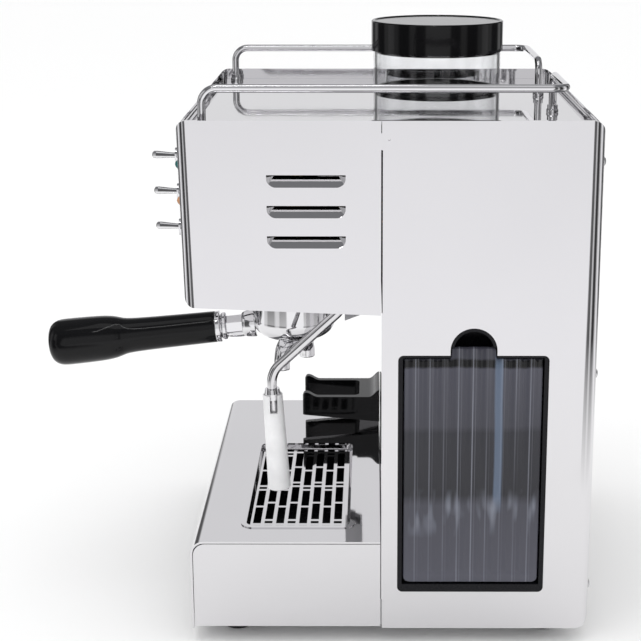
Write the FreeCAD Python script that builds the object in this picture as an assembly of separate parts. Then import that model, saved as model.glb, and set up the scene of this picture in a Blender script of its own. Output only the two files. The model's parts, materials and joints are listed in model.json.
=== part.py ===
"""Espresso machine with a built-in grinder: every separate piece, written as its own STEP file.

Frame: +Z up, the front faces -Y, the user's right is +X. The origin is on the surface that the
machine stands on, midway between its four feet. Lengths are in millimetres.
"""
import FreeCAD, Part
import math
import os

from FreeCAD import Vector

# ---- driving dimensions ----
WIDTH = 320.0
DEPTH = 300.0
FOOT_HEIGHT = 12.0
TOP = 399.0
SHEET = 1.5
DECK_TOP = 82.3
COLUMN_FRONT = -7.0
HOUSING_LEAN = 3.0
HOUSING_BOTTOM_FRONT = 263.8
HOUSING_BOTTOM_REAR = 258.0
TOP_PLATE_DROP = 9.0
SEAM = 0.6
CLEAR = 0.3
RUNNING = 0.05

HALF_W = WIDTH / 2
FRONT = -DEPTH / 2
REAR = DEPTH / 2
PLATE_TOP = TOP - TOP_PLATE_DROP
HOUSING_FRONT_BOTTOM = FRONT + 1.0
HOUSING_FRONT_TOP = HOUSING_FRONT_BOTTOM - HOUSING_LEAN

# centres of the working groups, seen from above
GROUP = Vector(48, -76, 0)
HOPPER = Vector(-82, 41, 0)
WAND = Vector(115, -38, 0)
FORK_X = -112.5

X = Vector(1, 0, 0)
Z = Vector(0, 0, 1)


# ---- small helpers ----
def box(x0, x1, y0, y1, z0, z1):
    """Box between two corners."""
    return Part.makeBox(x1 - x0, y1 - y0, z1 - z0, Vector(x0, y0, z0))


def rod(start, end, radius):
    """Round bar from one point to another."""
    axis = end.sub(start)
    return Part.makeCylinder(radius, axis.Length, start, axis)


def disc(centre, radius, z0, z1):
    """Upright cylinder over a centre point, between two heights."""
    return rod(Vector(centre.x, centre.y, z0), Vector(centre.x, centre.y, z1), radius)


def ring(centre, outer, inner, z0, z1):
    """Upright ring over a centre point."""
    return disc(centre, outer, z0, z1).cut(disc(centre, inner, z0 - 1, z1 + 1))


def turned(profile, base=Vector(0, 0, 0), axis=Z):
    """Solid of revolution from (radius, height) points, stood on base along axis."""
    points = [Vector(r, 0, h) for r, h in profile]
    face = Part.Face(Part.makePolygon(points + points[:1]))
    solid = face.revolve(Vector(0, 0, 0), Z, 360)
    solid.Placement = FreeCAD.Placement(base, FreeCAD.Rotation(Z, axis))
    return solid


def plate_yz(points, x0, x1):
    """Flat outline in the YZ plane, extruded along X."""
    corners = [Vector(x0, y, z) for y, z in points]
    face = Part.Face(Part.makePolygon(corners + corners[:1]))
    return face.extrude(Vector(x1 - x0, 0, 0))


def hexagon(centre, across_flats, axis, length):
    """Hexagonal bar along an axis, starting at centre."""
    radius = across_flats / 2 / math.cos(math.pi / 6)
    points = [Vector(radius * math.cos(k * math.pi / 3), radius * math.sin(k * math.pi / 3), 0)
              for k in range(6)]
    bar = Part.Face(Part.makePolygon(points + points[:1])).extrude(Vector(0, 0, length))
    bar.Placement = FreeCAD.Placement(centre, FreeCAD.Rotation(Z, axis))
    return bar


def round_edges(shape, radius, chosen):
    """Fillet the edges whose two end points both satisfy a test."""
    edges = [e for e in shape.Edges if len(e.Vertexes) == 2 and all(chosen(v.Point) for v in e.Vertexes)]
    return shape.makeFillet(radius, edges)


def upright(shape):
    """Edges that run along Z."""
    picked = []
    for edge in shape.Edges:
        if len(edge.Vertexes) == 2:
            run = edge.Vertexes[1].Point.sub(edge.Vertexes[0].Point)
            if abs(run.z) > 0.99 * run.Length:
                picked.append(edge)
    return picked


def rounded_box(x0, x1, y0, y1, z0, z1, radius):
    """Box with rounded upright edges."""
    block = box(x0, x1, y0, y1, z0, z1)
    return block.makeFillet(radius, upright(block))


def bent_path(points, radius):
    """Wire of straight runs joined by tangent arcs of one radius."""
    edges = []
    start = points[0]
    for before, corner, after in zip(points, points[1:], points[2:]):
        back = before.sub(corner).normalize()
        ahead = after.sub(corner).normalize()
        half_turn = (math.pi - back.getAngle(ahead)) / 2
        reach = radius * math.tan(half_turn)
        first = corner.add(back * reach)
        last = corner.add(ahead * reach)
        to_middle = back.add(ahead).normalize()
        middle = corner.add(to_middle * (radius / math.cos(half_turn) - radius))
        edges.append(Part.LineSegment(start, first).toShape())
        edges.append(Part.Arc(first, middle, last).toShape())
        start = last
    edges.append(Part.LineSegment(start, points[-1]).toShape())
    return Part.Wire(edges)


def bent_rod(points, bend, radius):
    """Round bar swept along a bent path."""
    path = bent_path(points, bend)
    direction = points[1].sub(points[0])
    section = Part.Wire(Part.makeCircle(radius, points[0], direction))
    return path.makePipeShell([section], True, False)


def bent_tube(points, bend, outer, inner):
    """Hollow tube swept along a bent path."""
    return bent_rod(points, bend, outer).cut(bent_rod(points, bend, inner))


def both_sides(shape):
    """A shape and its mirror image across the YZ plane."""
    return [shape, shape.mirror(Vector(0, 0, 0), X)]


def spread(shape, offsets):
    """One compound of copies of a shape."""
    copies = []
    for offset in offsets:
        copy = shape.copy()
        copy.translate(offset)
        copies.append(copy)
    return Part.makeCompound(copies)


# ---- casing ----
LOUVRE_Y = (-88.5, -32.6)
LOUVRE_Z = (356.0, 334.0, 312.0)
LOUVRE_H = 9.0
LOUVRE_DEPTH = 6.0
LOUVRE_SLIT = 1.6
TOGGLE_X = 131.0
TOGGLE_Z = (369.5, 343.3, 317.2)
TOGGLE_HOLE = 6.2
LAMP_X = 146.5
LAMP_DROP = 3.5
LAMP_R = 3.0
HEM = 3.0


def housing_front(z):
    """Y of the leaning housing front at a height."""
    share = (z - HOUSING_BOTTOM_FRONT) / (TOP - HOUSING_BOTTOM_FRONT)
    return HOUSING_FRONT_BOTTOM + (HOUSING_FRONT_TOP - HOUSING_FRONT_BOTTOM) * share


def housing_bottom(y):
    """Z of the housing's sloping lower edge at a depth."""
    share = (y - FRONT) / (COLUMN_FRONT - FRONT)
    return HOUSING_BOTTOM_FRONT + (HOUSING_BOTTOM_REAR - HOUSING_BOTTOM_FRONT) * share


def housing_block(inset, radius, z_below, z_above, y_behind):
    """Solid inside the leaning housing front, inset from its outer faces."""
    z0 = HOUSING_BOTTOM_FRONT - z_below
    z1 = TOP + z_above
    rear = COLUMN_FRONT - SEAM + y_behind
    outline = [(housing_front(z0) + inset, z0), (rear, housing_bottom(rear) - z_below),
               (rear, z1), (housing_front(z1) + inset, z1)]
    block = plate_yz(outline, -HALF_W + inset, HALF_W - inset)
    return round_edges(block, radius, lambda p: p.y < FRONT + 10)


def scoop(y0, y1, low, high, depth):
    """Wedge behind a louvre's mouth: it deepens upwards, and its two ends slant inwards."""
    x = HALF_W - 0.5
    wedge = [Vector(x, y0, low), Vector(x, y0, high), Vector(x - depth, y0, high)]
    plan = [Vector(x, y0, low), Vector(x, y1, low), Vector(x - depth, y1 - depth, low),
            Vector(x - depth, y0 + depth, low)]
    upright_run = Part.Face(Part.makePolygon(wedge + wedge[:1])).extrude(Vector(0, y1 - y0, 0))
    level_run = Part.Face(Part.makePolygon(plan + plan[:1])).extrude(Vector(0, 0, high - low))
    return upright_run.common(level_run)


def louvre_lip(y0, y1, low, high):
    """Pressed-in sheet round a louvre's scoop, open along its upper edge."""
    outside = scoop(y0 - 1, y1 + 1, low - 1, high, LOUVRE_DEPTH + 1)
    pressed = outside.cut(scoop(y0, y1, low, high, LOUVRE_DEPTH))
    return pressed.cut(box(HALF_W - 10, HALF_W + 1, y0 - 5, y1 + 5, high - LOUVRE_SLIT, high + 5))


def front_casing():
    """Bent wrap of the upper housing: front and both sides, with hemmed rim and side louvres."""
    wrap = housing_block(0, 8, 0, 0, 0)
    wrap = wrap.cut(housing_block(SHEET, 8 - SHEET, 20, -SHEET, 20))
    wrap = wrap.cut(housing_block(HEM, 8 - HEM, 20, 20, 20))
    for z in LOUVRE_Z:
        y0, y1 = LOUVRE_Y
        low = z - LOUVRE_H / 2
        high = low + LOUVRE_H
        slot = round_edges(box(HALF_W - 10, HALF_W + 10, y0, y1, low, high), 6.5, lambda p: p.z < z)
        lip = louvre_lip(y0, y1, low, high)
        for hole, blade in zip(both_sides(slot), both_sides(lip)):
            wrap = wrap.cut(hole).fuse(blade)
    for z in TOGGLE_Z:
        wrap = wrap.cut(rod(Vector(TOGGLE_X, FRONT - 10, z), Vector(TOGGLE_X, FRONT + 10, z), TOGGLE_HOLE))
    for z in TOGGLE_Z[:2]:
        centre = z - LAMP_DROP
        wrap = wrap.cut(rod(Vector(LAMP_X, FRONT - 10, centre), Vector(LAMP_X, FRONT + 10, centre), LAMP_R))
    return wrap.removeSplitter()


def housing_underside():
    """Plate that closes the housing below, with holes for the group, the wand and the chute."""
    gap = SHEET + CLEAR
    lift = 2.0
    rear = COLUMN_FRONT - SEAM
    front = HOUSING_FRONT_BOTTOM + gap
    outline = [(front, housing_bottom(front) + lift), (rear, housing_bottom(rear) + lift),
               (rear, housing_bottom(rear) + lift + SHEET), (front, housing_bottom(front) + lift + SHEET)]
    plate = plate_yz(outline, -HALF_W + gap, HALF_W - gap)
    plate = plate.makeFillet(6, [e for e in upright(plate) if e.Vertexes[0].Point.y < FRONT + 10])
    plate = plate.cut(disc(GROUP, 42, 200, 300))
    plate = plate.cut(disc(WAND, 9, 200, 300))
    return plate.cut(box(FORK_X - 16, FORK_X + 16, CHUTE_Y[0] - 2, CHUTE_Y[1] + 2, 200, 300))


TANK_Y = (5.0, 114.6)
TANK_Z = (42.0, 228.0)
NOTCH_Y = 59.8
NOTCH_Z = 231.5
NOTCH_R = 17.0


def tank_opening(grow, x0, x1):
    """Outline of the tank window with its finger notch, grown or shrunk, extruded along X."""
    hole = box(x0, x1, TANK_Y[0] - grow, TANK_Y[1] + grow, TANK_Z[0] - grow, TANK_Z[1] + grow)
    edges = [e for e in hole.Edges if abs(e.Vertexes[1].Point.x - e.Vertexes[0].Point.x) > 0.5]
    hole = hole.makeFillet(4 + grow, edges)
    notch = rod(Vector(x0, NOTCH_Y, NOTCH_Z), Vector(x1, NOTCH_Y, NOTCH_Z), NOTCH_R + grow)
    neck = box(x0, x1, NOTCH_Y - NOTCH_R - grow, NOTCH_Y + NOTCH_R + grow, TANK_Z[1] - 5, NOTCH_Z)
    return hole.fuse([notch, neck]).removeSplitter()


def column_casing():
    """Bent wrap of the rear column: both sides and the back, with hemmed rim and tank window."""
    outer = box(-HALF_W, HALF_W, COLUMN_FRONT, REAR, FOOT_HEIGHT, TOP)
    outer = round_edges(outer, 10, lambda p: p.y > REAR - 1 and abs(p.x) > HALF_W - 1)
    seam = box(HALF_W - 9, HALF_W, COLUMN_FRONT - 1, COLUMN_FRONT + SEAM, FOOT_HEIGHT, TOP - 14)
    for side in both_sides(seam):
        outer = outer.cut(side)
    inner = box(-HALF_W + SHEET, HALF_W - SHEET, COLUMN_FRONT - 5, REAR - SHEET, 0, TOP - SHEET)
    inner = round_edges(inner, 8.5, lambda p: p.y > REAR - 5)
    mouth = box(-HALF_W + HEM, HALF_W - HEM, COLUMN_FRONT - 5, REAR - HEM, TOP - 10, TOP + 5)
    mouth = round_edges(mouth, 7, lambda p: p.y > REAR - 5)
    wrap = outer.cut(inner).cut(mouth)
    wrap = wrap.cut(tank_opening(0, HALF_W - 10, HALF_W + 10))
    relief = rod(Vector(-HALF_W - 1, -2, TOP - 13), Vector(HALF_W + 1, -2, TOP - 13), 1.1)
    inlet = box(INLET_X - 14, INLET_X + 14, REAR - 10, REAR + 10, INLET_Z - 10, INLET_Z + 10)
    wrap = wrap.cut(relief).cut(inlet)
    for x, z in REAR_SCREWS:
        wrap = wrap.cut(rod(Vector(x, REAR - 5, z), Vector(x, REAR + 5, z), 1.6))
    return wrap


def column_front_plate():
    """Front sheet of the column between deck and housing, with edges folded back."""
    gap = SHEET + CLEAR
    z1 = HOUSING_BOTTOM_REAR + 1.5
    sheet = box(-HALF_W + gap, HALF_W - gap, COLUMN_FRONT, COLUMN_FRONT + 6, FOOT_HEIGHT + 23, z1)
    hollow = box(-HALF_W + gap + SHEET, HALF_W - gap - SHEET, COLUMN_FRONT + SHEET, 20, 0, z1 + 5)
    tray_room = box(-HALF_W + 12, HALF_W - 12, COLUMN_FRONT - 5, 20, 0, DECK_TOP - 10)
    return sheet.cut(hollow).cut(tray_room)


def top_plate():
    """Cup plate, sunk below the rim, with its edges folded down and a hole for the hopper."""
    gap = SHEET + CLEAR
    rear = REAR - gap
    front = HOUSING_FRONT_TOP + gap + 0.4
    plate = box(-HALF_W + gap, HALF_W - gap, front, rear, PLATE_TOP - 12, PLATE_TOP)
    plate = plate.makeFillet(8.6, upright(plate))
    hollow = box(-HALF_W + gap + SHEET, HALF_W - gap - SHEET, front + SHEET, rear - SHEET,
                 PLATE_TOP - 20, PLATE_TOP - SHEET)
    hollow = hollow.makeFillet(7.1, upright(hollow))
    return plate.cut(hollow).cut(disc(HOPPER, 50.6, 300, 450))


# ---- base ----
PAN_X = (-45.0, 133.0)
PAN_Y = (-112.0, -29.2)
PAN_DEPTH = 3.0


def base_pan():
    """Folded floor of the machine that everything stands on."""
    pan = box(-HALF_W + 4, HALF_W - 4, FRONT + 4, REAR - 4, FOOT_HEIGHT + 1, FOOT_HEIGHT + 22)
    pan = pan.cut(box(-HALF_W + 6, HALF_W - 6, FRONT + 6, REAR - 6, FOOT_HEIGHT + 2.5, FOOT_HEIGHT + 40))
    for x, y in FOOT_PLACES:
        pan = pan.cut(disc(Vector(x, y, 0), 2.6, 0, 30))
    return pan


def base_side_panel():
    """Right-hand side sheet of the base, with an inward lip below."""
    x1 = HALF_W
    z0 = FOOT_HEIGHT + 1.5
    z1 = DECK_TOP - SHEET - 0.5
    y0 = FRONT + SHEET + 0.5
    y1 = COLUMN_FRONT - SEAM
    panel = box(x1 - SHEET, x1, y0, y1, z0, z1)
    panel = round_edges(panel, 9, lambda p: p.y < y0 + 1 and p.z > z1 - 1)
    return panel.fuse(box(x1 - 3.7, x1, y0 + 2, y1, z0, z0 + SHEET)).removeSplitter()


def deck_cover():
    """Bent sheet: deck on top, rounded over into the front face."""
    block = box(-HALF_W, HALF_W, FRONT, COLUMN_FRONT - SEAM, FOOT_HEIGHT - 0.5, DECK_TOP)
    block = round_edges(block, 10, lambda p: p.y < FRONT + 1 and p.z > DECK_TOP - 1)
    below = box(-HALF_W - 1, HALF_W + 1, FRONT + SHEET, 20, 0, DECK_TOP - SHEET)
    below = round_edges(below, 8.5, lambda p: p.y < FRONT + 3 and p.z > DECK_TOP - 5)
    sheet = block.cut(below)
    hole = rounded_box(PAN_X[0], PAN_X[1], PAN_Y[0], PAN_Y[1], 60, 90, 8)
    return sheet.cut(hole)


def drip_grille():
    """Pressed pan of the drip grille: a thin flange on the deck, drafted walls and slotted floor."""
    lip = 2.5
    flange_t = 0.8
    x0, x1 = PAN_X
    y0, y1 = PAN_Y
    flange = rounded_box(x0 - lip, x1 + lip, y0 - lip, y1 + lip, DECK_TOP, DECK_TOP + flange_t, 10)
    inset = 0.4
    wall = rounded_box(x0 + inset, x1 - inset, y0 + inset, y1 - inset,
                       DECK_TOP - PAN_DEPTH - 1, DECK_TOP + 0.1, 7.5)
    pan = flange.fuse(wall)
    top_face = inset + 1.2
    hollow = rounded_box(x0 + top_face, x1 - top_face, y0 + top_face, y1 - top_face,
                         DECK_TOP - PAN_DEPTH, DECK_TOP + 5, 6)
    floor = DECK_TOP - PAN_DEPTH
    edges = [e for e in hollow.Edges if all(abs(v.Point.z - floor) < 0.01 for v in e.Vertexes)]
    hollow = hollow.makeChamfer(2.4, edges)
    pan = pan.cut(hollow)
    return cut_slots(pan)


def cut_slots(pan):
    """Eight columns of slots in a brick pattern: one short and two long, over and over."""
    slot_w = 6.1
    pitch = 8.95
    short, long, bridge = 4.4, 30.7, 3.35
    near_end, far_end = 127.0, -38.5
    pattern = (short, long, long)
    for column in range(8):
        y = -106.1 + pitch * column
        x = near_end
        step = 0
        if column % 2:
            pan = pan.cut(box(x - short, x, y, y + slot_w, 60, 90))
            x -= short + bridge
        while x - 4 > far_end:
            length = min(pattern[step % 3], x - far_end)
            pan = pan.cut(box(x - length, x, y, y + slot_w, 60, 90))
            x -= length + bridge
            step += 1
    return pan


def drip_tray():
    """Open tray that catches the drips below the grille, with side flanges that run on the frame."""
    tray = rounded_box(-60, 142, FRONT + 4, COLUMN_FRONT - 8, 40, DECK_TOP - 6, 8)
    hollow = rounded_box(-58, 140, FRONT + 6, COLUMN_FRONT - 10, 42, DECK_TOP, 6)
    tray = tray.cut(hollow)
    return tray


def drawer_ties():
    """Two brackets that carry the tray below the deck sheet."""
    tie = box(-60, -57, -120, -30, DECK_TOP - 6, DECK_TOP - SHEET)
    return [tie, box(139, 142, -120, -30, DECK_TOP - 6, DECK_TOP - SHEET)]


# ---- feet, screws, inlet ----
FOOT_PLACES = [(x, y) for x in (-128, 128) for y in (-118, 118)]
FOOT_R = 12.0
INLET_X = -100.0
INLET_Z = 60.0
REAR_SCREWS = [(x, z) for x in (-145, 145) for z in (42, 210, 368)]


def feet():
    """Four rubber feet."""
    foot = turned([(2.2, 3), (2.2, FOOT_HEIGHT + 1), (FOOT_R, FOOT_HEIGHT + 1), (FOOT_R, 1.5),
                   (FOOT_R - 1.5, 0), (5, 0), (5, 3)])
    return spread(foot, [Vector(x, y, 0) for x, y in FOOT_PLACES])


def foot_screws():
    """Screws that hold the feet to the base pan, with their nuts."""
    screw = turned([(0, 0.8), (4, 0.8), (4, 3), (2, 3), (2, FOOT_HEIGHT + 8), (0, FOOT_HEIGHT + 8)])
    nut = hexagon(Vector(0, 0, FOOT_HEIGHT + 2.5), 7, Z, 3.2).cut(disc(Vector(0, 0, 0), 2, 0, 40))
    return spread(screw.fuse(nut), [Vector(x, y, 0) for x, y in FOOT_PLACES])


def casing_screws():
    """Pan-head screws through the back of the casing."""
    profile = [(0, -1.8), (2.2, -1.8), (3.4, -0.9), (3.4, 0), (1.5, 0), (1.5, 8), (0, 8)]
    head = turned(profile, axis=Vector(0, -1, 0))
    slot = box(-0.5, 0.5, 0.9, 3, -5, 5)
    screw = head.cut(slot)
    return spread(screw, [Vector(x, REAR, z) for x, z in REAR_SCREWS])


def mains_inlet():
    """Panel socket for a detachable mains lead, with three blades."""
    body = box(INLET_X - 13.7, INLET_X + 13.7, REAR - 24, REAR + 1, INLET_Z - 9.7, INLET_Z + 9.7)
    flange = box(INLET_X - 18, INLET_X + 18, REAR, REAR + 2, INLET_Z - 13, INLET_Z + 13)
    mouth = box(INLET_X - 12, INLET_X + 12, REAR - 18, REAR + 10, INLET_Z - 8, INLET_Z + 8)
    shell = body.fuse(flange).cut(mouth)
    for x, z in ((INLET_X - 7, INLET_Z - 2), (INLET_X + 7, INLET_Z - 2), (INLET_X, INLET_Z + 3)):
        shell = shell.fuse(box(x - 1, x + 1, REAR - 20, REAR - 3, z - 2, z + 2))
    return shell.removeSplitter()


# ---- cup rails ----
RAIL_R = 3.0
RAIL_Z = 419.0


def rail(x, front_y, rear_y, end_x):
    """Cup rail: up from its front post, back along the side and inward along the rear."""
    points = [Vector(x, front_y, PLATE_TOP), Vector(x, front_y, RAIL_Z), Vector(x, rear_y, RAIL_Z),
              Vector(end_x, rear_y, RAIL_Z), Vector(end_x, rear_y, PLATE_TOP)]
    return bent_rod(points, 11, RAIL_R)


RAILS = {"cup_rail_right": (140, -135, 124, 54), "cup_rail_left": (-144.5, -136, 123.5, -42)}


def rail_ferrules():
    """Collars at the foot of each rail post."""
    bore = RAIL_R + 0.05
    profile = [(bore, 0.2), (4.6, 0.2), (4.6, 2), (4.0, 3), (4.0, 6), (bore, 6)]
    collar = turned(profile, Vector(0, 0, PLATE_TOP))
    places = []
    for x, front_y, rear_y, end_x in RAILS.values():
        places += [Vector(x, front_y, 0), Vector(end_x, rear_y, 0)]
    return spread(collar, places)


# ---- hopper and grinder ----
HOPPER_TOP = 430.0
LID_R = 55.7
LID_Z = (424.0, 449.0)


def bean_hopper():
    """Clear bean hopper: a short cylinder on the cup plate, with an inward lip for the funnel."""
    foot = PLATE_TOP + 0.4
    wall = [(49.8, foot), (54, foot), (54, HOPPER_TOP), (51.4, HOPPER_TOP), (51.4, foot + 1.4),
            (49.8, foot + 1.4)]
    return turned(wall, HOPPER)


def throat_funnel():
    """Black funnel that hangs on the hopper's lip and leads the beans down to the burrs."""
    rim = PLATE_TOP + 2.0
    wall = [(21, 345), (21, 357), (49.4, 385), (49.4, rim), (51.2, rim), (51.2, rim + 1.4),
            (47.4, rim + 1.4), (47.4, 386), (18, 358.5), (18, 345)]
    return turned(wall, HOPPER)


def hopper_lid():
    """Lid with a skirt outside and a plug inside the hopper wall."""
    z0, z1 = LID_Z
    profile = [(0, z1 - 0.8), (52.5, z1 - 0.8), (53.3, z1), (54.9, z1), (LID_R, z1 - 0.8), (LID_R, z0),
               (54.3, z0), (54.3, HOPPER_TOP + CLEAR), (51.0, HOPPER_TOP + CLEAR), (51.0, z0 - 2),
               (49.0, z0 - 2), (49.0, z1 - 4), (0, z1 - 4)]
    return turned(profile, HOPPER)


def grinder_housing():
    """Burr chamber below the hopper, with a side outlet towards the chute."""
    body = disc(HOPPER, 44, 300, 345)
    throat = ring(HOPPER, 26, 21.2, 345, 352)
    outlet = box(FORK_X - 13, FORK_X + 13, -0.5, 25, 304, 334)
    body = body.fuse([throat, outlet])
    body = body.cut(disc(HOPPER, 36, 306, 338))
    body = body.cut(disc(HOPPER, 21.2, 300 + 36, 360))
    body = body.cut(box(FORK_X - 11, FORK_X + 11, -5, 22, 308, 331))
    return body.cut(disc(HOPPER, 4 + RUNNING, 290, 320))


def upper_burr():
    """Fixed burr, screwed below the chamber roof."""
    burr = turned([(22, 330), (33, 330), (33, 337.7), (22, 337.7)], HOPPER)
    for k in range(12):
        cut = box(20, 40, -1.2, 1.2, 329, 331.5)
        cut.rotate(Vector(0, 0, 0), Z, 30 * k + 12)
        cut.translate(HOPPER)
        burr = burr.cut(cut)
    return burr


def lower_burr():
    """Turning burr on its carrier."""
    burr = turned([(15, 323), (33, 323), (33, 329.4), (15, 329.4)], HOPPER)
    for k in range(12):
        cut = box(14, 40, -1.2, 1.2, 328, 331)
        cut.rotate(Vector(0, 0, 0), Z, 30 * k)
        cut.translate(HOPPER)
        burr = burr.cut(cut)
    return burr


def burr_carrier():
    """Disc with sweeping fins and the shaft that the motor turns."""
    plate = disc(HOPPER, 34, 319, 322.8).fuse(disc(HOPPER, 14.6, 319, 330))
    for k in range(4):
        fin = box(20, 34, -1.5, 1.5, 308, 320)
        fin.rotate(Vector(0, 0, 0), Z, 90 * k + 20)
        fin.translate(HOPPER)
        plate = plate.fuse(fin)
    return plate.fuse(disc(HOPPER, 4, 281, 320)).removeSplitter()


def grinder_motor():
    """Upright motor that turns the lower burr."""
    body = disc(HOPPER, 37, 203.8, 296).fuse(disc(HOPPER, 20, 296, 299.6))
    for k in range(16):
        slit = box(34, 40, -1.5, 1.5, 220, 280)
        slit.rotate(Vector(0, 0, 0), Z, 22.5 * k)
        slit.translate(HOPPER)
        body = body.cut(slit)
    return body.cut(disc(HOPPER, 4 + RUNNING, 279, 310))


def grinder_shelf():
    """Folded shelf across the column that carries the grinder."""
    shelf = box(-156, 2, 9, 146, 194, 203.5)
    return shelf.cut(box(-154, 0, 11, 144, 190, 201.5))


CHUTE_Y = (-38.5, -23.0)
CHUTE_BOTTOM = 179.0
CHUTE_REAR_BOTTOM = 185.0


def grinder_chute():
    """Square duct that carries the grounds forward and down to the fork."""
    y0, y1 = CHUTE_Y
    outer = [(-0.8, 334), (-0.8, 305), (y1, 292), (y1, CHUTE_REAR_BOTTOM), (y0, CHUTE_BOTTOM), (y0, 315)]
    w = 1.6
    inner = [(5, 334 - w), (5, 305 + w), (y1 - w, 292 + w), (y1 - w, CHUTE_BOTTOM - 5),
             (y0 + w, CHUTE_BOTTOM - 5), (y0 + w, 315 - w)]
    duct = plate_yz(outer, FORK_X - 13, FORK_X + 13)
    return duct.cut(plate_yz(inner, FORK_X - 13 + w, FORK_X + 13 - w))


FORK_FRONT = -76.5
FORK_HALF = 27.0
FORK_GAP = 21.0
FORK_GAP_END = -25.5
FORK_CORNER = 5.0
FORK_TOP = 111.4


def portafilter_fork():
    """Black rest that holds the portafilter under the chute: two prongs with raised tips."""
    rear = COLUMN_FRONT - CLEAR
    side = [(FORK_FRONT, 94.5), (FORK_FRONT + 1.5, 93.0), (rear, 88.0), (rear, 118.0), (rear - 3, 118.0),
            (rear - 7, 113.5), (rear - 12, FORK_TOP), (FORK_FRONT + 13, FORK_TOP), (FORK_FRONT + 6, 113.2),
            (FORK_FRONT + 2.5, 115.6), (FORK_FRONT, 114.8)]
    fork = plate_yz(side, FORK_X - FORK_HALF, FORK_X + FORK_HALF)
    gap = rounded_box(FORK_X - FORK_GAP, FORK_X + FORK_GAP, FORK_FRONT - 20, FORK_GAP_END,
                      50, 150, FORK_CORNER)
    return fork.cut(gap)


# ---- group and portafilter ----
CUP_R = 33.3
CUP_BOTTOM = 210.0
CUP_TOP = 268.0
LUG_Z = (260.5, 266.5)
LUG_R = 38.0
SPOUT_YAW = -27.0
ARM_REACH = 20.2
SPOUT_TIP = 187.0
HANDLE_DROOP = 6.1
HANDLE_START = 63.0
HANDLE_LENGTH = 134.0


def group_head():
    """Brew head: a bell with an inner groove that the portafilter's lugs turn in."""
    groove_r = LUG_R + 0.5
    mouth_r = CUP_R + 0.6
    shelf = LUG_Z[0] - 0.6
    profile = [(0, 276), (34.5, 276), (34.5, CUP_TOP + 4), (groove_r, CUP_TOP + 2), (groove_r, shelf),
               (mouth_r, shelf), (mouth_r, 256.0), (39, 256.0), (41, 258), (41, 272), (46, 274), (46, 292),
               (0, 292)]
    bell = turned(profile, GROUP)
    for k in range(2):
        gate = box(0, LUG_R + 0.5, -11.5, 11.5, 250, LUG_Z[0])
        gate.rotate(Vector(0, 0, 0), Z, 180 * k - 45)
        gate.translate(GROUP)
        bell = bell.cut(gate)
    for k in range(4):
        bell = bell.cut(disc(bolt_place(k), 2.6, 250, 300))
    return bell


def bolt_place(k):
    """Centre of one of the four bolts between boiler and group."""
    angle = math.radians(45 + 90 * k)
    return GROUP.add(Vector(42.5 * math.cos(angle), 42.5 * math.sin(angle), 0))


def group_gasket():
    """Rubber ring that the portafilter's rim seals against."""
    return turned([(28.5, CUP_TOP + 0.3), (34.2, CUP_TOP + 0.3), (34.2, 275.8), (28.5, 275.8)], GROUP)


def shower_screen():
    """Perforated disc that spreads the water over the coffee."""
    screen = turned([(0, 272.4), (27.6, 272.4), (28.2, 273), (28.2, 275.8), (26.5, 275.8), (26.5, 273.6),
                     (0, 273.6)], GROUP)
    screen = screen.cut(disc(GROUP, 2.6, 270, 280))
    for radius, count in ((8, 8), (14, 14), (20, 20)):
        for k in range(count):
            angle = 2 * math.pi * k / count
            place = GROUP.add(Vector(radius * math.cos(angle), radius * math.sin(angle), 0))
            screen = screen.cut(disc(place, 0.9, 270, 275))
    return screen


def shower_screw():
    """Screw that holds the shower screen."""
    return turned([(0, 270.4), (4.5, 270.4), (4.5, 272.3), (2.5, 272.3), (2.5, 275.9), (0, 275.9)], GROUP)


def portafilter_cup():
    """Chromed cup with two lugs, an open floor for the spout and a boss for the stem."""
    wall = [(7, CUP_BOTTOM), (19, CUP_BOTTOM), (26.5, CUP_BOTTOM + 2.5), (31.2, CUP_BOTTOM + 7.5),
            (CUP_R, CUP_BOTTOM + 15), (CUP_R, CUP_TOP), (30.6, CUP_TOP), (30.6, CUP_BOTTOM + 18),
            (28, CUP_BOTTOM + 10), (22, CUP_BOTTOM + 5), (7, CUP_BOTTOM + 4)]
    cup = turned(wall, GROUP)
    sector = ring(GROUP, LUG_R, CUP_R - 1, *LUG_Z)
    for k in range(2):
        lug = box(0, LUG_R + 5, -10, 10, 255, 270)
        lug.rotate(Vector(0, 0, 0), Z, 180 * k)
        lug.translate(GROUP)
        cup = cup.fuse(sector.common(lug))
    return cup.removeSplitter()


def portafilter_basket():
    """Steel basket that holds the coffee."""
    wall = [(0, 234), (27, 234), (29, 236), (29.6, CUP_TOP - 1), (30.4, CUP_TOP), (30.4, CUP_TOP + 0.2),
            (28.2, CUP_TOP + 0.2), (28, 236.6), (26.6, 235), (0, 235)]
    return turned(wall, GROUP)


def handle_axis():
    """Unit vector from the group out along the drooping handle."""
    droop = math.radians(HANDLE_DROOP)
    return Vector(0, -math.cos(droop), -math.sin(droop))


def on_handle(distance):
    """Point on the handle's centre line, at a distance from the group's axis."""
    start = Vector(GROUP.x, GROUP.y, CUP_BOTTOM + 13.6)
    return start.add(handle_axis() * distance)


def portafilter_stem():
    """Chromed neck between cup and handle, with a threaded end inside the handle."""
    axis = handle_axis()
    start = CUP_R - 1.0
    collar = HANDLE_START - start - CLEAR
    profile = [(0, 0), (11, 0), (10, 3), (8, 7), (8, 17), (9, 19), (9, 22), (11.6, 23), (11.6, 27),
               (12.6, 28), (12.6, collar), (5, collar), (5, 62), (0, 62)]
    stem = turned(profile, on_handle(start), axis)
    return stem.cut(disc(GROUP, CUP_R + 0.02, 200, CUP_TOP))


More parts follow.
